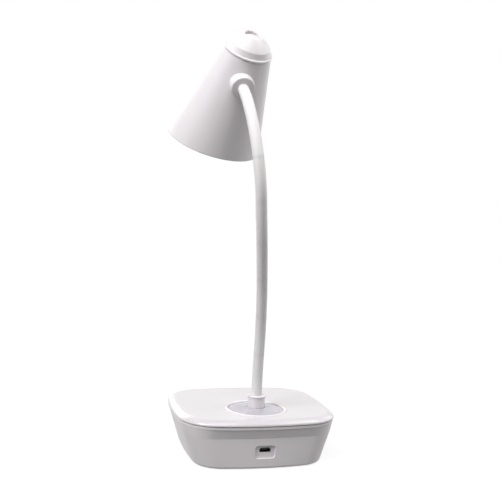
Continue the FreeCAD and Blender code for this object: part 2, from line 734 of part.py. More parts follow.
def shade_cone():
    """The conical shell, with ledges for the lamp board and diffuser and the neck's round socket."""
    top = -CONE_TOP_DROP
    reach = CONE_LENGTH + CONE_MOUTH_RADIUS / 2
    shell = turned([(inner_radius(CONE_TOP_DROP), top), (CONE_TOP_RADIUS, top),
                    (cone_radius(reach), -reach), (inner_radius(reach), -reach)])
    shell = shell.cut(mouth_cutter())
    rim = [e for e in shell.Edges if e.CenterOfMass.z < -CONE_LENGTH / 2 and e.Length > CONE_MOUTH_RADIUS]
    shell = shell.makeFillet(MOUTH_ROUND, rim)
    ledges = []
    for drop in (LED_DROP, DIFFUSER_DROP):
        over = drop - LEDGE_THICK
        ledges.append(turned([(inner_radius(drop) - LEDGE_WIDTH, -drop),
                              (inner_radius(drop) + CONE_WALL / 2, -drop),
                              (inner_radius(over) + CONE_WALL / 2, -over),
                              (inner_radius(drop) - LEDGE_WIDTH, -over)]))
    shell = on_shade(fused([shell] + ledges))
    hollow = on_shade(turned([(0, 0), (inner_radius(0), 0), (inner_radius(reach), -reach),
                              (0, -reach)]))
    lean = math.atan((CONE_MOUTH_RADIUS - CONE_TOP_RADIUS) / (CONE_LENGTH - CONE_TOP_DROP))
    inward = shade_place.Rotation.multVec(V(-math.cos(lean), 0, -math.sin(lean)))
    boss_way = inward + tip_way
    boss_way.normalize()
    boss = rod(BOSS_RADIUS, neck_end, neck_end + boss_way * 2 * PAD_DEPTH)
    end_edge = min(boss.Edges, key=lambda e: (e.CenterOfMass - neck_end).Length)
    boss = boss.makeFillet(BOSS_ROUND, [end_edge])
    pad = rod(PAD_RADIUS, neck_end + tip_way * PAD_START, neck_end + tip_way * PAD_DEPTH)
    size = 2 * CONE_MOUTH_RADIUS
    above = on_shade(box(-size, size, -size, size, top, size))
    body = shell.fuse(boss.cut(hollow).cut(above)).fuse(pad.cut(above))
    body = body.cut(rod(NECK_RADIUS + FIT, neck_end - tip_way * BORE_LEAD, neck_end + tip_way * BOSS_BORE))
    body = body.cut(rod(ROD_RADIUS + FIT / 2, neck_end, neck_end + tip_way * 2 * PAD_DEPTH))
    solids = sorted(body.Solids, key=lambda s: s.Volume)
    return solids[-1].removeSplitter()


def neck_nut():
    """The small nut that draws the neck's end into the shade."""
    seat = neck_end + tip_way * PAD_DEPTH
    nut = rod(TIP_NUT_RADIUS, seat, seat + tip_way * TIP_NUT_HEIGHT)
    return nut.cut(rod(ROD_RADIUS + FIT / 2, seat, seat + tip_way * TIP_NUT_HEIGHT))


def crown_bead():
    """The round white bead between the cone and its crown."""
    middle = V(0, 0, BEAD_RADIUS - CONE_TOP_DROP)
    return on_shade(Part.makeTorus(CONE_TOP_RADIUS + BEAD_PROUD - BEAD_RADIUS, BEAD_RADIUS, middle))


crown_inner = CONE_TOP_RADIUS + BEAD_PROUD - 2 * BEAD_RADIUS - FIT
bead_top = 2 * BEAD_RADIUS - CONE_TOP_DROP
well_top = CROWN_RIM_HEIGHT + CROWN_DOME
button_top = well_top - BUTTON_RECESS
flange_top = button_top - BUTTON_HEAD
switch_low = -DRIVER_DROP


def crown_cap():
    """The crown: a slanted band, a low dome, and a round well for the push switch."""
    shelf = flange_top + FIT / 2
    outline = [
        (crown_inner - CROWN_WALL, -CROWN_SKIRT),
        (crown_inner, -CROWN_SKIRT),
        (crown_inner, bead_top),
        (CROWN_BAND_RADIUS, bead_top),
        (CROWN_RIM_RADIUS, CROWN_RIM_HEIGHT),
        (CROWN_RIM_RADIUS * 0.68, CROWN_RIM_HEIGHT + CROWN_DOME * 0.62, "through"),
        (WELL_RADIUS + 0.4, well_top),
        (WELL_RADIUS, well_top - 0.4),
        (WELL_RADIUS, shelf),
        (WELL_RADIUS + BUTTON_FLANGE + RUN, shelf),
        (WELL_RADIUS + BUTTON_FLANGE + RUN, shelf - FLANGE_THICK - 0.4),
        (CROWN_RIM_RADIUS - 2 * CROWN_WALL, shelf - FLANGE_THICK - 0.4),
        (crown_inner - CROWN_WALL, bead_top),
    ]
    return on_shade(turned(outline))


def power_button():
    """The push switch's cap, with a hidden flange that keeps it in the well, and its stalk."""
    radius = WELL_RADIUS - RUN
    bottom = flange_top - FLANGE_THICK
    stalk_low = switch_low + SWITCH_HEIGHT + PLUNGER_HEIGHT
    outline = [(0, stalk_low), (STALK_RADIUS, stalk_low), (STALK_RADIUS, bottom),
               (radius + BUTTON_FLANGE, bottom), (radius + BUTTON_FLANGE, flange_top),
               (radius, flange_top), (radius, button_top - 0.5), (radius - 0.5, button_top),
               (0, button_top)]
    return on_shade(turned(outline))


def switch_plunger():
    """The switch's own plunger, which the button's stalk pushes down."""
    low = switch_low + SWITCH_HEIGHT - BUTTON_TRAVEL - RUN
    top = switch_low + SWITCH_HEIGHT + PLUNGER_HEIGHT
    return on_shade(Part.makeCylinder(PLUNGER_RADIUS, top - low, V(0, 0, low)))


def push_switch():
    half = SWITCH_SIZE / 2
    case = box(-half, half, -half, half, switch_low, switch_low + SWITCH_HEIGHT)
    well = 2 * BUTTON_TRAVEL + 2 * RUN
    hole = Part.makeCylinder(PLUNGER_RADIUS + FIT, well, V(0, 0, switch_low + SWITCH_HEIGHT - well))
    return on_shade(case.cut(hole))


def driver_board():
    """The round board in the crown that carries the switch, held by the crown's skirt."""
    return on_shade(Part.makeCylinder(crown_inner - CROWN_WALL, DRIVER_THICK,
                                      V(0, 0, switch_low - DRIVER_THICK)))


def led_board():
    """The round aluminium board that carries the lamps, screwed up against its ledge."""
    radius = inner_radius(LED_DROP) - FIT
    top = -LED_DROP
    board = Part.makeCylinder(radius, LED_BOARD_THICK, V(0, 0, top - LED_BOARD_THICK))
    for x, y in led_screw_places():
        board = board.cut(Part.makeCylinder(SCREW_RADIUS, 2 * LED_BOARD_THICK,
                                          V(x, y, top - 1.5 * LED_BOARD_THICK)))
    return on_shade(board)


def led_screw_places():
    reach = inner_radius(LED_DROP) - LEDGE_WIDTH / 2
    turns = [math.radians(30 + 120 * i) for i in range(3)]
    return [(reach * math.cos(a), reach * math.sin(a)) for a in turns]


def led_screws():
    screws = []
    low = -LED_DROP - LED_BOARD_THICK
    for x, y in led_screw_places():
        head = Part.makeCylinder(LED_SCREW_HEAD, LED_SCREW_HEIGHT, V(x, y, low - LED_SCREW_HEIGHT))
        shank = Part.makeCylinder(SCREW_RADIUS * 0.6, LED_BOARD_THICK, V(x, y, low))
        screws.append(on_shade(head.fuse(shank)))
    return Part.makeCompound(screws)


def led_chips():
    chips = []
    low = -LED_DROP - LED_BOARD_THICK - LED_THICK
    for i in range(LED_COUNT):
        turn = 360 * i / LED_COUNT
        half = LED_SIZE / 2
        chip = box(LED_CIRCLE - half, LED_CIRCLE + half, -half, half, low, low + LED_THICK)
        chip.rotate(V(0, 0, 0), V(0, 0, 1), turn)
        chips.append(on_shade(chip))
    return Part.makeCompound(chips)


def reflector():
    """The white cup between the lamp board and the diffuser."""
    top = -LED_DROP - LED_BOARD_THICK
    low = -DIFFUSER_DROP
    flare = inner_radius(DIFFUSER_DROP) - LEDGE_WIDTH - 2 * REFLECTOR_WALL
    outline = [(REFLECTOR_TOP, top), (REFLECTOR_TOP + REFLECTOR_WALL, top),
               (flare + REFLECTOR_WALL, low), (flare, low)]
    return on_shade(turned(outline))


def diffuser():
    """The frosted disc below the lamps, pressed up against its ledge."""
    radius = inner_radius(DIFFUSER_DROP) - FIT
    disc = Part.makeCylinder(radius, DIFFUSER_THICK, V(0, 0, -DIFFUSER_DROP - DIFFUSER_THICK))
    return on_shade(disc)


pieces = {
    "base_shell": base_shell,
    "top_cover": top_cover,
    "lens_bezel": lens_bezel,
    "dish_lens": dish_lens,
    "neck_collar": neck_collar,
    "collar_washer": collar_washer,
    "collar_nut": collar_nut,
    "bottom_plate": bottom_plate,
    "base_screws": base_screws,
    "grip_pad": grip_pad,
    "ballast_plate": ballast_plate,
    "battery_pack": battery_pack,
    "control_board": control_board,
    "board_screws": board_screws,
    "board_chips": board_chips,
    "usb_shell": usb_shell,
    "usb_tongue": usb_tongue,
    "drawer_housing": drawer_housing,
    "drawer_tray": drawer_tray,
    "drawer_front": drawer_front,
    "shade_cone": shade_cone,
    "neck_nut": neck_nut,
    "crown_bead": crown_bead,
    "crown_cap": crown_cap,
    "power_button": power_button,
    "switch_plunger": switch_plunger,
    "push_switch": push_switch,
    "driver_board": driver_board,
    "led_board": led_board,
    "led_screws": led_screws,
    "led_chips": led_chips,
    "reflector": reflector,
    "diffuser": diffuser,
}

os.makedirs("parts", exist_ok=True)
for name, make in pieces.items():
    make().exportStep("parts/" + name + ".step")
for link in range(len(BACK_LEAN)):
    neck_sleeve(link).exportStep("parts/neck_sleeve_%d.step" % link)
    neck_spine(link).exportStep("parts/neck_spine_%d.step" % link)
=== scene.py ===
import json
import math

import bmesh
import bpy
from mathutils import Matrix, Vector
from mathutils.geometry import interpolate_bezier


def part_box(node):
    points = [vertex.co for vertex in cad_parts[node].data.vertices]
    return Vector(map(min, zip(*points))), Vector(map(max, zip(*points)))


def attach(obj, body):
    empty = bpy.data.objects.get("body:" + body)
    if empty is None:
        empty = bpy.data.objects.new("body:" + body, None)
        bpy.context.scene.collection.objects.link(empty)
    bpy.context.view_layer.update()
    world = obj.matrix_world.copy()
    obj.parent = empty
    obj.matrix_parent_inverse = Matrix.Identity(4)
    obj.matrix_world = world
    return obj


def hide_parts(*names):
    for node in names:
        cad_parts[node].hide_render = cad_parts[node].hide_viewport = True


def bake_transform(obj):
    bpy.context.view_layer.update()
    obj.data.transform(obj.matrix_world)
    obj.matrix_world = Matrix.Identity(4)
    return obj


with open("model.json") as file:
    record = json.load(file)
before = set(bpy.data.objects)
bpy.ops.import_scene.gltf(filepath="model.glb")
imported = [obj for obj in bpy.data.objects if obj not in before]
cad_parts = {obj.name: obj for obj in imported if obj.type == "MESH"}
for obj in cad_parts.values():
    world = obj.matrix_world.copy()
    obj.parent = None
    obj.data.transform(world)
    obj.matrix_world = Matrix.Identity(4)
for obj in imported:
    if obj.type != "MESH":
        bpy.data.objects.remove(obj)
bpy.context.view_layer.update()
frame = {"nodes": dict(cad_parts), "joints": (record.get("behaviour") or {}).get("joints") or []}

nodes = frame["nodes"]
MM = 0.001


# Base shell
# The tapered tub of the base: injection-moulded white ABS with a satin-gloss, very finely
# grained surface. Its pocket for the charging socket and its drawer opening are moulded in.

SHELL_WHITE = (0.80, 0.765, 0.785, 1)


def new_material(name):
    """A node material, with its shader, and a socket for the piece's own place in metres."""
    material = bpy.data.materials.new(name)
    material.use_nodes = True
    tree = material.node_tree
    place = tree.nodes.new("ShaderNodeTexCoord").outputs["Object"]
    return material, tree, tree.nodes["Principled BSDF"], place


def noise(tree, place, size, detail=2.0, stretch=None):
    """Noise whose blotches are about size metres across, drawn out along an axis by stretch."""
    node = tree.nodes.new("ShaderNodeTexNoise")
    node.inputs["Scale"].default_value = 1 / size
    node.inputs["Detail"].default_value = detail
    if stretch:
        mapping = tree.nodes.new("ShaderNodeMapping")
        mapping.inputs["Scale"].default_value = stretch
        tree.links.new(place, mapping.inputs["Vector"])
        place = mapping.outputs["Vector"]
    tree.links.new(place, node.inputs["Vector"])
    return node.outputs["Fac"]


def between(tree, amount, low, high):
    """A number from low to high, as amount goes over the middle half of its span."""
    node = tree.nodes.new("ShaderNodeMapRange")
    node.inputs["From Min"].default_value = 0.25
    node.inputs["From Max"].default_value = 0.75
    node.inputs["To Min"].default_value = low
    node.inputs["To Max"].default_value = high
    tree.links.new(amount, node.inputs["Value"])
    return node.outputs["Result"]


def blended(tree, amount, first, second):
    """A colour between first and second."""
    node = tree.nodes.new("ShaderNodeMix")
    node.data_type = "RGBA"
    node.inputs[6].default_value = first
    node.inputs[7].default_value = second
    tree.links.new(amount, node.inputs["Factor"])
    return node.outputs[2]


def relief(tree, shader, height, depth, under=None):
    """Bumps of that depth in metres, laid over any that are there already."""
    node = tree.nodes.new("ShaderNodeBump")
    node.inputs["Distance"].default_value = depth
    tree.links.new(height, node.inputs["Height"])
    if under:
        tree.links.new(under, node.inputs["Normal"])
    tree.links.new(node.outputs["Normal"], shader.inputs["Normal"])
    return node.outputs["Normal"]


def toned(colour, share):
    """A colour made darker or lighter by a share."""
    return tuple(c * share for c in colour[:3]) + (1,)


def moulded_plastic(name, colour, gloss, glow=0.06, ripple=14 * MM, grain=0.5 * MM):
    """Moulded plastic: faint flow clouding, slow sink-mark ripples and a fine tool grain."""
    material, tree, shader, place = new_material(name)
    cloud = noise(tree, place, 30 * MM, 3)
    fine = noise(tree, place, grain, 2)
    tint = blended(tree, cloud, toned(colour, 0.975), toned(colour, 1.02))
    tree.links.new(tint, shader.inputs["Base Color"])
    tree.links.new(between(tree, fine, gloss - 0.03, gloss + 0.04), shader.inputs["Roughness"])
    waves = relief(tree, shader, noise(tree, place, ripple, 1), 0.02 * MM)
    relief(tree, shader, fine, 0.004 * MM, waves)
    shader.inputs["IOR"].default_value = 1.5
    shader.inputs["Subsurface Weight"].default_value = glow
    shader.inputs["Subsurface Radius"].default_value = (1, 0.95, 0.9)
    shader.inputs["Subsurface Scale"].default_value = 1.2 * MM
    return material


def coat_node(material, *names):
    """Gives solids that keep their own shape their finish."""
    for name in names:
        mesh = nodes[name].data
        mesh.materials.clear()
        mesh.materials.append(material)


shell_plastic = moulded_plastic("shell_white_abs", SHELL_WHITE, 0.34)
coat_node(shell_plastic, "base_shell")


# Bottom plate, grip pad, ballast and screws
# The floor of the tub is plain matte ABS, screwed up from below against four posts. A pale
# rubber pad glued under it grips the desk, and a steel weight keeps the lamp standing.

INNER_WHITE = (0.72, 0.72, 0.72, 1)
PAD_GREY = (0.55, 0.55, 0.56, 1)
ZINC = (0.62, 0.62, 0.64, 1)
PAD_CORNER = 9 * MM
PAD_CORNER_STEPS = 8
PAD_EDGE = 0.15 * MM
PAD_EDGE_STEPS = 2
RIB_PITCH = 2.2 * MM
RIB_LAND = 1.0 * MM
RIB_LEAST_AREA = 20 * MM * MM
GROOVE_DEPTH = 0.2 * MM
CUT_SLACK = 0.1 * MM
FACING_DOWN = -0.99
SCREW_HEAD = 2.7 * MM
SCREW_HEAD_HEIGHT = 1.3 * MM
SCREW_SHANK = 1.4 * MM
SCREW_SHANK_LENGTH = 6 * MM
SCREW_SIDES = 24
SCREW_SHARP = 30
# Shares of the head's radius
CROSS_ARM = 0.62
CROSS_HALF_WIDTH = 0.16
HEAD_FACE = 0.78
HEAD_BELLY = 0.95
# Shares of the head's height
CROSS_DEPTH = 0.7
BELLY_HEIGHT = 0.3


def plated_steel(name, colour, gloss):
    """Bright zinc plating over drawn steel: fine draw lines and patchy gloss."""
    material, tree, shader, place = new_material(name)
    shader.inputs["Metallic"].default_value = 1
    lines = noise(tree, place, 0.3 * MM, 3, stretch=(1, 1, 0.06))
    patches = noise(tree, place, 4 * MM, 3)
    tree.links.new(blended(tree, patches, toned(colour, 0.85), toned(colour, 1.08)),
                   shader.inputs["Base Color"])
    tree.links.new(between(tree, patches, gloss - 0.08, gloss + 0.1), shader.inputs["Roughness"])
    relief(tree, shader, lines, 0.01 * MM)
    return material


def dusty_rubber(name, colour):
    """Soft rubber sheet: a fine calendered grain under a dusty bloom."""
    material, tree, shader, place = new_material(name)
    bloom = noise(tree, place, 6 * MM, 4)
    tree.links.new(blended(tree, bloom, toned(colour, 0.9), toned(colour, 1.08)),
                   shader.inputs["Base Color"])
    tree.links.new(between(tree, bloom, 0.6, 0.8), shader.inputs["Roughness"])
    relief(tree, shader, noise(tree, place, 0.4 * MM, 2), 0.02 * MM)
    return material


def finished(mesh, name, sharp=40):
    """The object made of a bmesh, smooth except over edges sharper than that many degrees."""
    for face in mesh.faces:
        face.smooth = True
    for edge in mesh.edges:
        edge.smooth = not (edge.is_manifold and edge.calc_face_angle() > math.radians(sharp))
    data = bpy.data.meshes.new(name)
    mesh.to_mesh(data)
    mesh.free()
    piece = bpy.data.objects.new(name, data)
    bpy.context.scene.collection.objects.link(piece)
    return piece


def dressed(piece, material, body, node):
    """Gives a new piece its finish, the body that it moves with and the CAD node it stands for."""
    piece.data.materials.append(material)
    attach(piece, body)
    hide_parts(node)


def across(name):
    """A node's lowest corner, highest corner and middle."""
    low, high = (Vector(corner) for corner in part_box(name))
    return low, high, (low + high) / 2


def pad_mesh():
    """A rubber sheet with rounded corners and shallow grooves in its underside."""
    low, high, middle = across("grip_pad")
    size = high - low
    mesh = bmesh.new()
    bmesh.ops.create_cube(mesh, size=1)
    bmesh.ops.scale(mesh, verts=mesh.verts, vec=size)
    bmesh.ops.translate(mesh, verts=mesh.verts, vec=middle)
    upright = [e for e in mesh.edges if abs(e.verts[0].co.z - e.verts[1].co.z) > size.z / 2]
    bmesh.ops.bevel(mesh, geom=upright, offset=PAD_CORNER, segments=PAD_CORNER_STEPS,
                    profile=0.5, affect="EDGES", material=-1)
    rim = [e for e in mesh.edges if max(v.co.z for v in e.verts) < middle.z]
    bmesh.ops.bevel(mesh, geom=rim, offset=PAD_EDGE, segments=PAD_EDGE_STEPS,
                    profile=0.5, affect="EDGES", material=-1)
    x = low.x + PAD_CORNER
    while x <= high.x - PAD_CORNER + CUT_SLACK:
        bmesh.ops.bisect_plane(mesh, geom=list(mesh.verts) + list(mesh.edges) + list(mesh.faces),
                               plane_co=(x, 0, 0), plane_no=(1, 0, 0))
        x += RIB_PITCH
    under = [f for f in mesh.faces
             if f.normal.z < FACING_DOWN and f.calc_area() > RIB_LEAST_AREA]
    bmesh.ops.inset_individual(mesh, faces=under, thickness=RIB_LAND / 2, depth=-GROOVE_DEPTH)
    bmesh.ops.recalc_face_normals(mesh, faces=mesh.faces)
    return mesh


def screw_mesh(places, radius, low, high, shank):
    """Pan-head screws seen from below, each with a cross recess sunk in its head."""
    mesh = bmesh.new()
    arm, half = radius * CROSS_ARM, radius * CROSS_HALF_WIDTH
    cross = [(arm, -half), (arm, half), (half, half), (half, arm), (-half, arm), (-half, half),
             (-arm, half), (-arm, -half), (-half, -half), (-half, -arm), (half, -arm),
             (half, -half)]
    for place in places:
        edge = bmesh.ops.create_circle(mesh, segments=SCREW_SIDES, radius=radius * HEAD_FACE,
                                       matrix=Matrix.Translation((place[0], place[1], low)))
        corners = [mesh.verts.new((place[0] + x, place[1] + y, low)) for x, y in cross]
        recess = [mesh.edges.new((a, b)) for a, b in zip(corners, corners[1:] + corners[:1])]
        ring = list({e for v in edge["verts"] for e in v.link_edges})
        bmesh.ops.bridge_loops(mesh, edges=ring + recess)
        floor_face = mesh.faces.new(corners)
        sunk = bmesh.ops.extrude_face_region(mesh, geom=[floor_face])
        mesh.faces.remove(floor_face)
        moved = [v for v in sunk["geom"] if isinstance(v, bmesh.types.BMVert)]
        bmesh.ops.translate(mesh, verts=moved, vec=(0, 0, (high - low) * CROSS_DEPTH))
        for wide, z in ((radius * HEAD_BELLY, low + (high - low) * BELLY_HEIGHT),
                        (radius, high), (shank, high), (shank, high + SCREW_SHANK_LENGTH)):
            grown = bmesh.ops.extrude_edge_only(mesh, edges=ring)["geom"]
            ring = [e for e in grown if isinstance(e, bmesh.types.BMEdge)]
            for vert in {v for e in ring for v in e.verts}:
                way = (vert.co - Vector((place[0], place[1], vert.co.z))).normalized()
                vert.co = Vector((place[0], place[1], z)) + way * wide
        bmesh.ops.holes_fill(mesh, edges=ring)
    bmesh.ops.recalc_face_normals(mesh, faces=mesh.faces)
    return mesh


inner_plastic = moulded_plastic("inner_white_abs", INNER_WHITE, 0.55, glow=0.03, grain=0.35 * MM)
zinc = plated_steel("zinc_plated_steel", ZINC, 0.34)
coat_node(inner_plastic, "bottom_plate", "drawer_housing")
coat_node(zinc, "ballast_plate", "board_screws", "led_screws", "collar_washer", "collar_nut",
          "neck_nut")
grip = finished(pad_mesh(), "ribbed_grip_pad")
dressed(grip, dusty_rubber("grip_rubber", PAD_GREY), "base", "grip_pad")
screws_low, screws_high, _ = across("base_screws")
places = [(x, y) for x in (screws_low.x + SCREW_HEAD, screws_high.x - SCREW_HEAD)
          for y in (screws_low.y + SCREW_HEAD, screws_high.y - SCREW_HEAD)]
screws = finished(screw_mesh(places, SCREW_HEAD, screws_low.z, screws_low.z + SCREW_HEAD_HEIGHT,
                             SCREW_SHANK), "cross_head_screws", SCREW_SHARP)
dressed(screws, zinc, "base", "base_screws")


# Charging board, its socket and the battery
# A green circuit board with its parts stands behind the wall. Its socket is a folded steel
# case round a black tongue, the steel painted nearly black as painted shade for the inside of
# the port, and a shrink-wrapped cell lies on the ballast.

MASK_GREEN = (0.03, 0.17, 0.08, 1)
TRACE_GREEN = (0.08, 0.30, 0.15, 1)
CELL_BLUE = (0.06, 0.16, 0.42, 1)
BLACK = (0.012, 0.012, 0.013, 1)
SWITCH_GREY = (0.1, 0.1, 0.105, 1)
# Painted shade: steel darkened nearly to black to stand for the shaded inside of the port.
SOCKET_PAINTED_SHADE = (0.06, 0.06, 0.065, 1)


def circuit_board(name, mask, trace):
    """Solder mask over copper tracks, which stand a little proud."""
    material, tree, shader, place = new_material(name)
    tracks = tree.nodes.new("ShaderNodeTexBrick")
    tracks.inputs["Scale"].default_value = 1 / (9 * MM)
    tracks.inputs["Mortar Size"].default_value = 0.06
    tracks.inputs["Color1"].default_value = (0, 0, 0, 1)
    tracks.inputs["Color2"].default_value = (0, 0, 0, 1)
    tracks.inputs["Mortar"].default_value = (1, 1, 1, 1)
    tree.links.new(place, tracks.inputs["Vector"])
    tree.links.new(blended(tree, tracks.outputs["Color"], mask, trace),
                   shader.inputs["Base Color"])
    relief(tree, shader, tracks.outputs["Color"], 0.05 * MM)
    shader.inputs["Roughness"].default_value = 0.3
    return material


green_board = circuit_board("green_circuit_board", MASK_GREEN, TRACE_GREEN)
black_plastic = moulded_plastic("black_plastic", BLACK, 0.45, glow=0)
coat_node(green_board, "control_board", "driver_board")
coat_node(black_plastic, "board_chips", "usb_tongue", "push_switch")
coat_node(moulded_plastic("switch_plunger_grey", SWITCH_GREY, 0.5, glow=0), "switch_plunger")
# The socket's case gets the painted-shade, nearly black steel.
coat_node(plated_steel("socket_steel_painted_shade", SOCKET_PAINTED_SHADE, 0.35), "usb_shell")
coat_node(moulded_plastic("cell_wrap", CELL_BLUE, 0.3, glow=0), "battery_pack")


# Drawer
# A thin white tray that slides in a sleeve, with a face flush with the wall and a half-moon
# notch for a fingertip.

coat_node(inner_plastic, "drawer_tray")
coat_node(shell_plastic, "drawer_front")


# Lid
# The flat lid overhangs the tub all round. It is the same plastic as the tub, a little glossier,
# and its soft edge slopes away to the rim. Its colour is the tub's white made darker: painted
# shade, so that its upward face reads dimmer under the overhead lamps.

# Painted shade: the tub's white darkened to stand in for a dimmer lid top.
LID_WHITE_PAINTED_SHADE = (0.67, 0.64, 0.66, 1)
LID_ROUND = 3.2 * MM
EDGE_SLOPE = 0.7
LENS_SEAT_RADIUS = 26 * MM
WELD = 0.001 * MM
UNDERSIDE = -0.01
LEAST_OUTWARD = 0.001


def lid_mesh():
    """The lid with its rounded edge eased into a slope that falls away towards the rim."""
    top = across("top_cover")[1].z
    seat = across("dish_lens")[2]
    mesh = bmesh.new()
    mesh.from_mesh(nodes["top_cover"].data)
    bmesh.ops.remove_doubles(mesh, verts=mesh.verts, dist=WELD)
    mesh.normal_update()
    eased = []
    for vert in mesh.verts:
        rise = vert.co.z - (top - LID_ROUND)
        outward = Vector((vert.normal.x, vert.normal.y, 0))
        on_edge = (vert.co.xy - seat.xy).length > LENS_SEAT_RADIUS
        facing_out = vert.normal.z > UNDERSIDE and outward.length > LEAST_OUTWARD
        if rise > 0 and on_edge and facing_out:
            eased.append((vert, outward.normalized() * rise * EDGE_SLOPE))
    for vert, inward in eased:
        vert.co -= inward
    return mesh


# The lid gets the darker, painted-shade copy of the tub's plastic.
lid_plastic_painted_shade = moulded_plastic("lid_white_abs_painted_shade", LID_WHITE_PAINTED_SHADE, 0.3)
lid_shader = lid_plastic_painted_shade.node_tree.nodes["Principled BSDF"]
lid_shader.inputs["Coat Weight"].default_value = 0.7
lid_shader.inputs["Coat Roughness"].default_value = 0.16
lid = finished(lid_mesh(), "lid")
weighted = lid.modifiers.new("flat top kept flat", "WEIGHTED_NORMAL")
weighted.keep_sharp = True
dressed(lid, lid_plastic_painted_shade, "base", "top_cover")


# Night-light lens and its bezel
# A low dome of smoky blue-grey polycarbonate round the neck's foot, polished on top and
# frosted beneath, held down by a raised white ring.

LENS_GREY = (0.54, 0.52, 0.58, 1)
LENS_DARK = (0.43, 0.415, 0.47, 1)


def smoked_lens(name, pale, dark):
    """Polished clear-grey plastic over a frosted, speckled underside."""
    material, tree, shader, place = new_material(name)
    speck = noise(tree, place, 1.1 * MM, 3)
    haze = noise(tree, place, 9 * MM, 2)
    tree.links.new(blended(tree, speck, dark, pale), shader.inputs["Base Color"])
    tree.links.new(between(tree, haze, 0.16, 0.3), shader.inputs["Roughness"])
    relief(tree, shader, speck, 0.03 * MM)
    shader.inputs["Subsurface Weight"].default_value = 0.35
    shader.inputs["Subsurface Radius"].default_value = (0.8, 0.9, 1)
    shader.inputs["Subsurface Scale"].default_value = 2 * MM
    shader.inputs["Coat Weight"].default_value = 0.3
    shader.inputs["Coat Roughness"].default_value = 0.08
    shader.inputs["IOR"].default_value = 1.58
    return material


coat_node(smoked_lens("smoked_polycarbonate", LENS_GREY, LENS_DARK), "dish_lens")
coat_node(shell_plastic, "lens_bezel")


# Collar
# The flared plastic socket that the neck stands in. It is moulded in the tub's white ABS,
# passes through the lid, and is clamped there by a steel washer and nut.

coat_node(shell_plastic, "neck_collar")


# Neck
# A chain of ball-jointed steel rods inside one soft white silicone sleeve. The sleeve is drawn
# here in stretches, each from the middle of one rod to the middle of the next and curved across
# the joint between them, which meet end to end without a seam.

SLEEVE_WHITE = (0.84, 0.82, 0.81, 1)
SLEEVE_RADIUS = 3.85 * MM
SLEEVE_BORE = 2.55 * MM
SLEEVE_SIDES = 48
RINGS = 14
NECK_FOOT = Vector((0, 17.6, 33.5)) * MM
ROOT_LENGTH = 15 * MM
TIP_INSERT = 4.9 * MM
NECK_HEAD = Vector((22.068, 24.435, 257.464)) * MM
SPINE_LINKS = 9


def silicone(name, colour):
    """Matte silicone: a soft bloom, lint-sized mottling and light let in below the skin."""
    material, tree, shader, place = new_material(name)
    mottle = noise(tree, place, 2.2 * MM, 4)
    skin = noise(tree, place, 0.35 * MM, 2)
    tree.links.new(blended(tree, mottle, toned(colour, 0.97), toned(colour, 1.02)),
                   shader.inputs["Base Color"])
    tree.links.new(between(tree, mottle, 0.42, 0.55), shader.inputs["Roughness"])
    relief(tree, shader, skin, 0.006 * MM)
    shader.inputs["Subsurface Weight"].default_value = 0.6
    shader.inputs["Subsurface Radius"].default_value = (1, 0.96, 0.9)
    shader.inputs["Subsurface Scale"].default_value = 3 * MM
    shader.inputs["Sheen Weight"].default_value = 0.1
    shader.inputs["Sheen Roughness"].default_value = 0.4
    return material


bends = [j for j in frame["joints"] if j["name"].startswith("neck_bend")]
pivots = [Vector(joint["pos_m"]) for joint in bends]
neck_root = Vector((NECK_FOOT.x, NECK_FOOT.y, pivots[0].z - ROOT_LENGTH))
knots = [neck_root] + pivots + [NECK_HEAD]


def knot_way(i):
    """The sleeve's direction where it passes over knot i."""
    if i == 0:
        return Vector((0, 0, 1))
    if i == len(knots) - 1:
        return (knots[i] - knots[i - 1]).normalized()
    before = (knots[i] - knots[i - 1]).normalized()
    after = (knots[i + 1] - knots[i]).normalized()
    return (before + after).normalized()


def sleeve_points(i, steps):
    """Points along the sleeve's centre line from knot i to knot i + 1."""
    reach = (knots[i + 1] - knots[i]).length / 3
    return interpolate_bezier(knots[i], knots[i] + knot_way(i) * reach,
                              knots[i + 1] - knot_way(i + 1) * reach, knots[i + 1], steps)


def sleeve_piece(name, line, ways):
    """A closed tube round a line of points, made of rings joined to their neighbours."""
    mesh = bmesh.new()
    walls = []
    for radius in (SLEEVE_RADIUS, SLEEVE_BORE):
        rings = []
        for point, way in zip(line, ways):
            turn = way.to_track_quat("Z", "Y").to_matrix().to_4x4()
            made = bmesh.ops.create_circle(mesh, segments=SLEEVE_SIDES, radius=radius,
                                           matrix=Matrix.Translation(point) @ turn)
            rings.append(made["verts"])
        walls.append(rings)
    loops = walls[0] + walls[1][::-1]
    edges = [{e for v in ring for e in v.link_edges} for ring in loops]
    for a, b in zip(edges, edges[1:] + edges[:1]):
        bmesh.ops.bridge_loops(mesh, edges=list(a | b))
    bmesh.ops.recalc_face_normals(mesh, faces=mesh.faces)
    return finished(mesh, name)


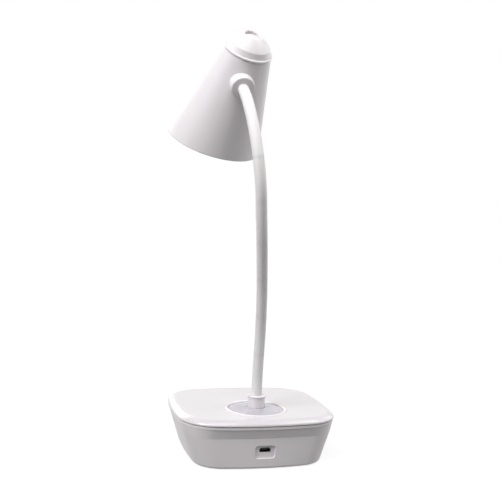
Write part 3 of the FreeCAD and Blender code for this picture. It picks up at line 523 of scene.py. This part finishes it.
silicone_white = silicone("silicone_white", SLEEVE_WHITE)
spans = [sleeve_points(i, 2 * RINGS + 1) for i in range(len(knots) - 1)]
for i, joint in enumerate(bends):
    line = list(spans[i][RINGS:]) + list(spans[i + 1][1:RINGS + 1])
    if i == 0:
        line = [NECK_FOOT] + list(spans[0]) + list(spans[1][1:RINGS + 1])
    if i == len(bends) - 1:
        line = list(spans[i][RINGS:]) + list(spans[i + 1][1:])
        line.append(line[-1] + knot_way(len(knots) - 1) * TIP_INSERT)
    ways = []
    for k in range(len(line)):
        ahead = line[min(k + 1, len(line) - 1)] - line[max(k - 1, 0)]
        ways.append(ahead.normalized())
    if i > 0:
        ways[0] = (spans[i][RINGS + 1] - spans[i][RINGS - 1]).normalized()
    if i < len(bends) - 1:
        ways[-1] = (spans[i + 1][RINGS + 1] - spans[i + 1][RINGS - 1]).normalized()
    piece = sleeve_piece("neck_sleeve_bend_%d" % (i + 1), line, ways)
    piece.data.materials.append(silicone_white)
    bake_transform(piece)
    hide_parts(*(["neck_sleeve_0", "neck_sleeve_1"] if i == 0
                         else ["neck_sleeve_%d" % (i + 1)]))
coat_node(zinc, *["neck_spine_%d" % i for i in range(SPINE_LINKS)])


# Shade
# A thin conical shell of white ABS with a round socket for the neck, closed by a bead and a
# crown with one push button. The lamp board, reflector and ridged diffuser sit inside it.

REFLECTOR_WHITE = (0.85, 0.85, 0.85, 1)
PHOSPHOR_YELLOW = (0.85, 0.62, 0.1, 1)
DIFFUSER_WHITE = (0.86, 0.86, 0.84, 1)
SHADE_SEAT = Vector((17.599, 14.206, 285.578)) * MM
SHADE_AXIS = Vector((-0.13817, 0.61813, 0.77384))
DIFFUSER_TOP = -45 * MM
DIFFUSER_THICK = 2 * MM
DIFFUSER_RADIUS = 25.9 * MM
RIDGE_PITCH = 1.6 * MM
RIDGE_SLOPE_SHARE = 0.8
RIDGE_DEPTH = 0.35 * MM
DIFFUSER_SHARP = 12


def turned(name, outline, seat, axis, steps=96):
    """A closed piece spun from an outline of (radius, height) pairs about an axis."""
    mesh = bmesh.new()
    corners = [mesh.verts.new((radius, 0, height)) for radius, height in outline]
    edges = [mesh.edges.new(pair) for pair in zip(corners, corners[1:])]
    bmesh.ops.spin(mesh, geom=corners + edges, cent=(0, 0, 0), axis=(0, 0, 1),
                   angle=math.tau, steps=steps, use_merge=True)
    bmesh.ops.remove_doubles(mesh, verts=mesh.verts, dist=WELD)
    bmesh.ops.recalc_face_normals(mesh, faces=mesh.faces)
    turn = axis.to_track_quat("Z", "Y").to_matrix().to_4x4()
    bmesh.ops.transform(mesh, matrix=Matrix.Translation(seat) @ turn, verts=mesh.verts)
    return finished(mesh, name, DIFFUSER_SHARP)


shade_plastic = moulded_plastic("shade_white_abs", SHELL_WHITE, 0.36)
coat_node(shade_plastic, "shade_cone", "crown_bead", "crown_cap", "power_button")
coat_node(moulded_plastic("reflector_white", REFLECTOR_WHITE, 0.3), "reflector", "led_board")
outline = [(0, DIFFUSER_TOP), (DIFFUSER_RADIUS, DIFFUSER_TOP),
           (DIFFUSER_RADIUS, DIFFUSER_TOP - DIFFUSER_THICK)]
radius = DIFFUSER_RADIUS - 2 * RIDGE_PITCH
while radius > RIDGE_PITCH:
    outline.append((radius, DIFFUSER_TOP - DIFFUSER_THICK))
    outline.append((radius - RIDGE_PITCH * RIDGE_SLOPE_SHARE,
                    DIFFUSER_TOP - DIFFUSER_THICK + RIDGE_DEPTH))
    radius -= RIDGE_PITCH
outline.append((0, DIFFUSER_TOP - DIFFUSER_THICK + RIDGE_DEPTH))
diffuser = turned("ridged_diffuser", outline, SHADE_SEAT, SHADE_AXIS)
dressed(diffuser, moulded_plastic("frosted_diffuser", DIFFUSER_WHITE, 0.5, glow=0.5), "shade",
        "diffuser")
coat_node(moulded_plastic("led_phosphor", PHOSPHOR_YELLOW, 0.5), "led_chips")


# Floor, light and camera
# The lamp stands on matt white paper in a white room. Eight soft square lamps are set round
# it, and the camera looks at the side with the charging socket.

FLOOR_SIZE = 6.0
FLOOR_DROP = 0.1 * MM
FLOOR_TONE = (0.22, 0.22, 0.22, 1)
NEAR = 0.15
FAR = 1.2
NEAR_GLOW = 0.84

floor_mesh = bmesh.new()
bmesh.ops.create_grid(floor_mesh, x_segments=1, y_segments=1, size=FLOOR_SIZE)
bmesh.ops.translate(floor_mesh, verts=floor_mesh.verts, vec=(0, 0, -FLOOR_DROP))
floor = finished(floor_mesh, "floor")
floor_paper, tree, shader, place = new_material("floor_paper")
fibre = noise(tree, place, 3 * MM, 3)
tree.links.new(blended(tree, fibre, toned(FLOOR_TONE, 0.98), toned(FLOOR_TONE, 1.02)),
               shader.inputs["Base Color"])
shader.inputs["Roughness"].default_value = 0.9
shader.inputs["Specular IOR Level"].default_value = 0.0


def seen_directly(tree):
    """One for rays from the camera and for what gloss and glass show, else nothing."""
    path = tree.nodes.new("ShaderNodeLightPath")
    amount = path.outputs["Is Camera Ray"]
    for kind in ("Is Glossy Ray", "Is Transmission Ray"):
        either = tree.nodes.new("ShaderNodeMath")
        either.operation = "MAXIMUM"
        tree.links.new(amount, either.inputs[0])
        tree.links.new(path.outputs[kind], either.inputs[1])
        amount = either.outputs[0]
    return amount


def product(tree, first, second):
    """Two numbers multiplied."""
    node = tree.nodes.new("ShaderNodeMath")
    node.operation = "MULTIPLY"
    tree.links.new(first, node.inputs[0])
    tree.links.new(second, node.inputs[1])
    return node.outputs[0]


away = tree.nodes.new("ShaderNodeVectorMath")
away.operation = "LENGTH"
tree.links.new(place, away.inputs[0])
rise = tree.nodes.new("ShaderNodeMapRange")
rise.interpolation_type = "SMOOTHSTEP"
for side, value in (("From Min", NEAR), ("From Max", FAR),
                    ("To Min", NEAR_GLOW), ("To Max", 1.0)):
    rise.inputs[side].default_value = value
tree.links.new(away.outputs["Value"], rise.inputs["Value"])
glow = tree.nodes.new("ShaderNodeEmission")
tree.links.new(product(tree, seen_directly(tree), rise.outputs["Result"]),
               glow.inputs["Strength"])
both = tree.nodes.new("ShaderNodeAddShader")
tree.links.new(shader.outputs[0], both.inputs[0])
tree.links.new(glow.outputs[0], both.inputs[1])
tree.links.new(both.outputs[0], tree.nodes["Material Output"].inputs["Surface"])
floor.data.materials.append(floor_paper)

AMBIENT = 0.04
world = bpy.data.worlds.new("white_room")
bpy.context.scene.world = world
world.use_nodes = True
sky = world.node_tree.nodes["Background"]
sky.inputs["Color"].default_value = (1, 1, 1, 1)
ambient = world.node_tree.nodes.new("ShaderNodeMapRange")
ambient.inputs["To Min"].default_value = AMBIENT
world.node_tree.links.new(seen_directly(world.node_tree), ambient.inputs["Value"])
world.node_tree.links.new(ambient.outputs["Result"], sky.inputs["Strength"])

TARGET = Vector((0, 0, 0.15))
# name, azimuth (0 from -Y, 90 from +X), elevation, distance, size, power
LAMPS = [
    ("key", 120, 45, 1.1, 0.5, 9.0),
    ("left", 95, 18, 1.0, 0.6, 1.8),
    ("top", 168, 74, 1.2, 0.5, 2.0),
    ("near_high", 165, 48, 0.55, 0.3, 0.6),
    ("right_low", 250, 18, 1.0, 0.6, 1.6),
    ("right_high", 250, 50, 1.0, 0.5, 3.0),
    ("rim", 290, 20, 1.0, 0.6, 1.8),
    ("drawer_side", 20, 20, 1.2, 0.6, 3.0),
]
for name, azimuth, elevation, distance, size, power in LAMPS:
    a, e = math.radians(azimuth), math.radians(elevation)
    way = Vector((math.sin(a) * math.cos(e), -math.cos(a) * math.cos(e), math.sin(e)))
    lamp = bpy.data.lights.new(name, "AREA")
    lamp.shape = "SQUARE"
    lamp.size = size
    lamp.energy = power
    holder = bpy.data.objects.new(name, lamp)
    holder.location = TARGET + way * distance
    holder.rotation_euler = way.to_track_quat("Z", "Y").to_euler()
    bpy.context.scene.collection.objects.link(holder)

CAMERA_AZIMUTH = 164.62
CAMERA_ELEVATION = 3.785
CAMERA_ROLL = 2.794
CAMERA_DISTANCE = 0.57973
CAMERA_HEIGHT = 0.14623
CAMERA_SIDESTEP = -0.004893
SENSOR_WIDTH = 36
FOCAL_LENGTH = 57.6
NEAREST_SEEN = 0.01
camera = bpy.data.objects.new("camera", bpy.data.cameras.new("camera"))
bpy.context.scene.collection.objects.link(camera)
camera.data.sensor_width = SENSOR_WIDTH
camera.data.lens = FOCAL_LENGTH
camera.data.clip_start = NEAREST_SEEN
turn = (Matrix.Rotation(math.radians(CAMERA_AZIMUTH), 4, "Z")
        @ Matrix.Rotation(math.radians(90 - CAMERA_ELEVATION), 4, "X"))
step = turn.to_3x3() @ Vector((CAMERA_SIDESTEP, 0, CAMERA_DISTANCE))
aim = Vector((0, 0, CAMERA_HEIGHT)) + step
camera.matrix_world = (Matrix.Translation(aim) @ turn
                       @ Matrix.Rotation(math.radians(CAMERA_ROLL), 4, "Z"))
bpy.context.scene.camera = camera

bpy.context.scene.view_settings.view_transform = "Standard"
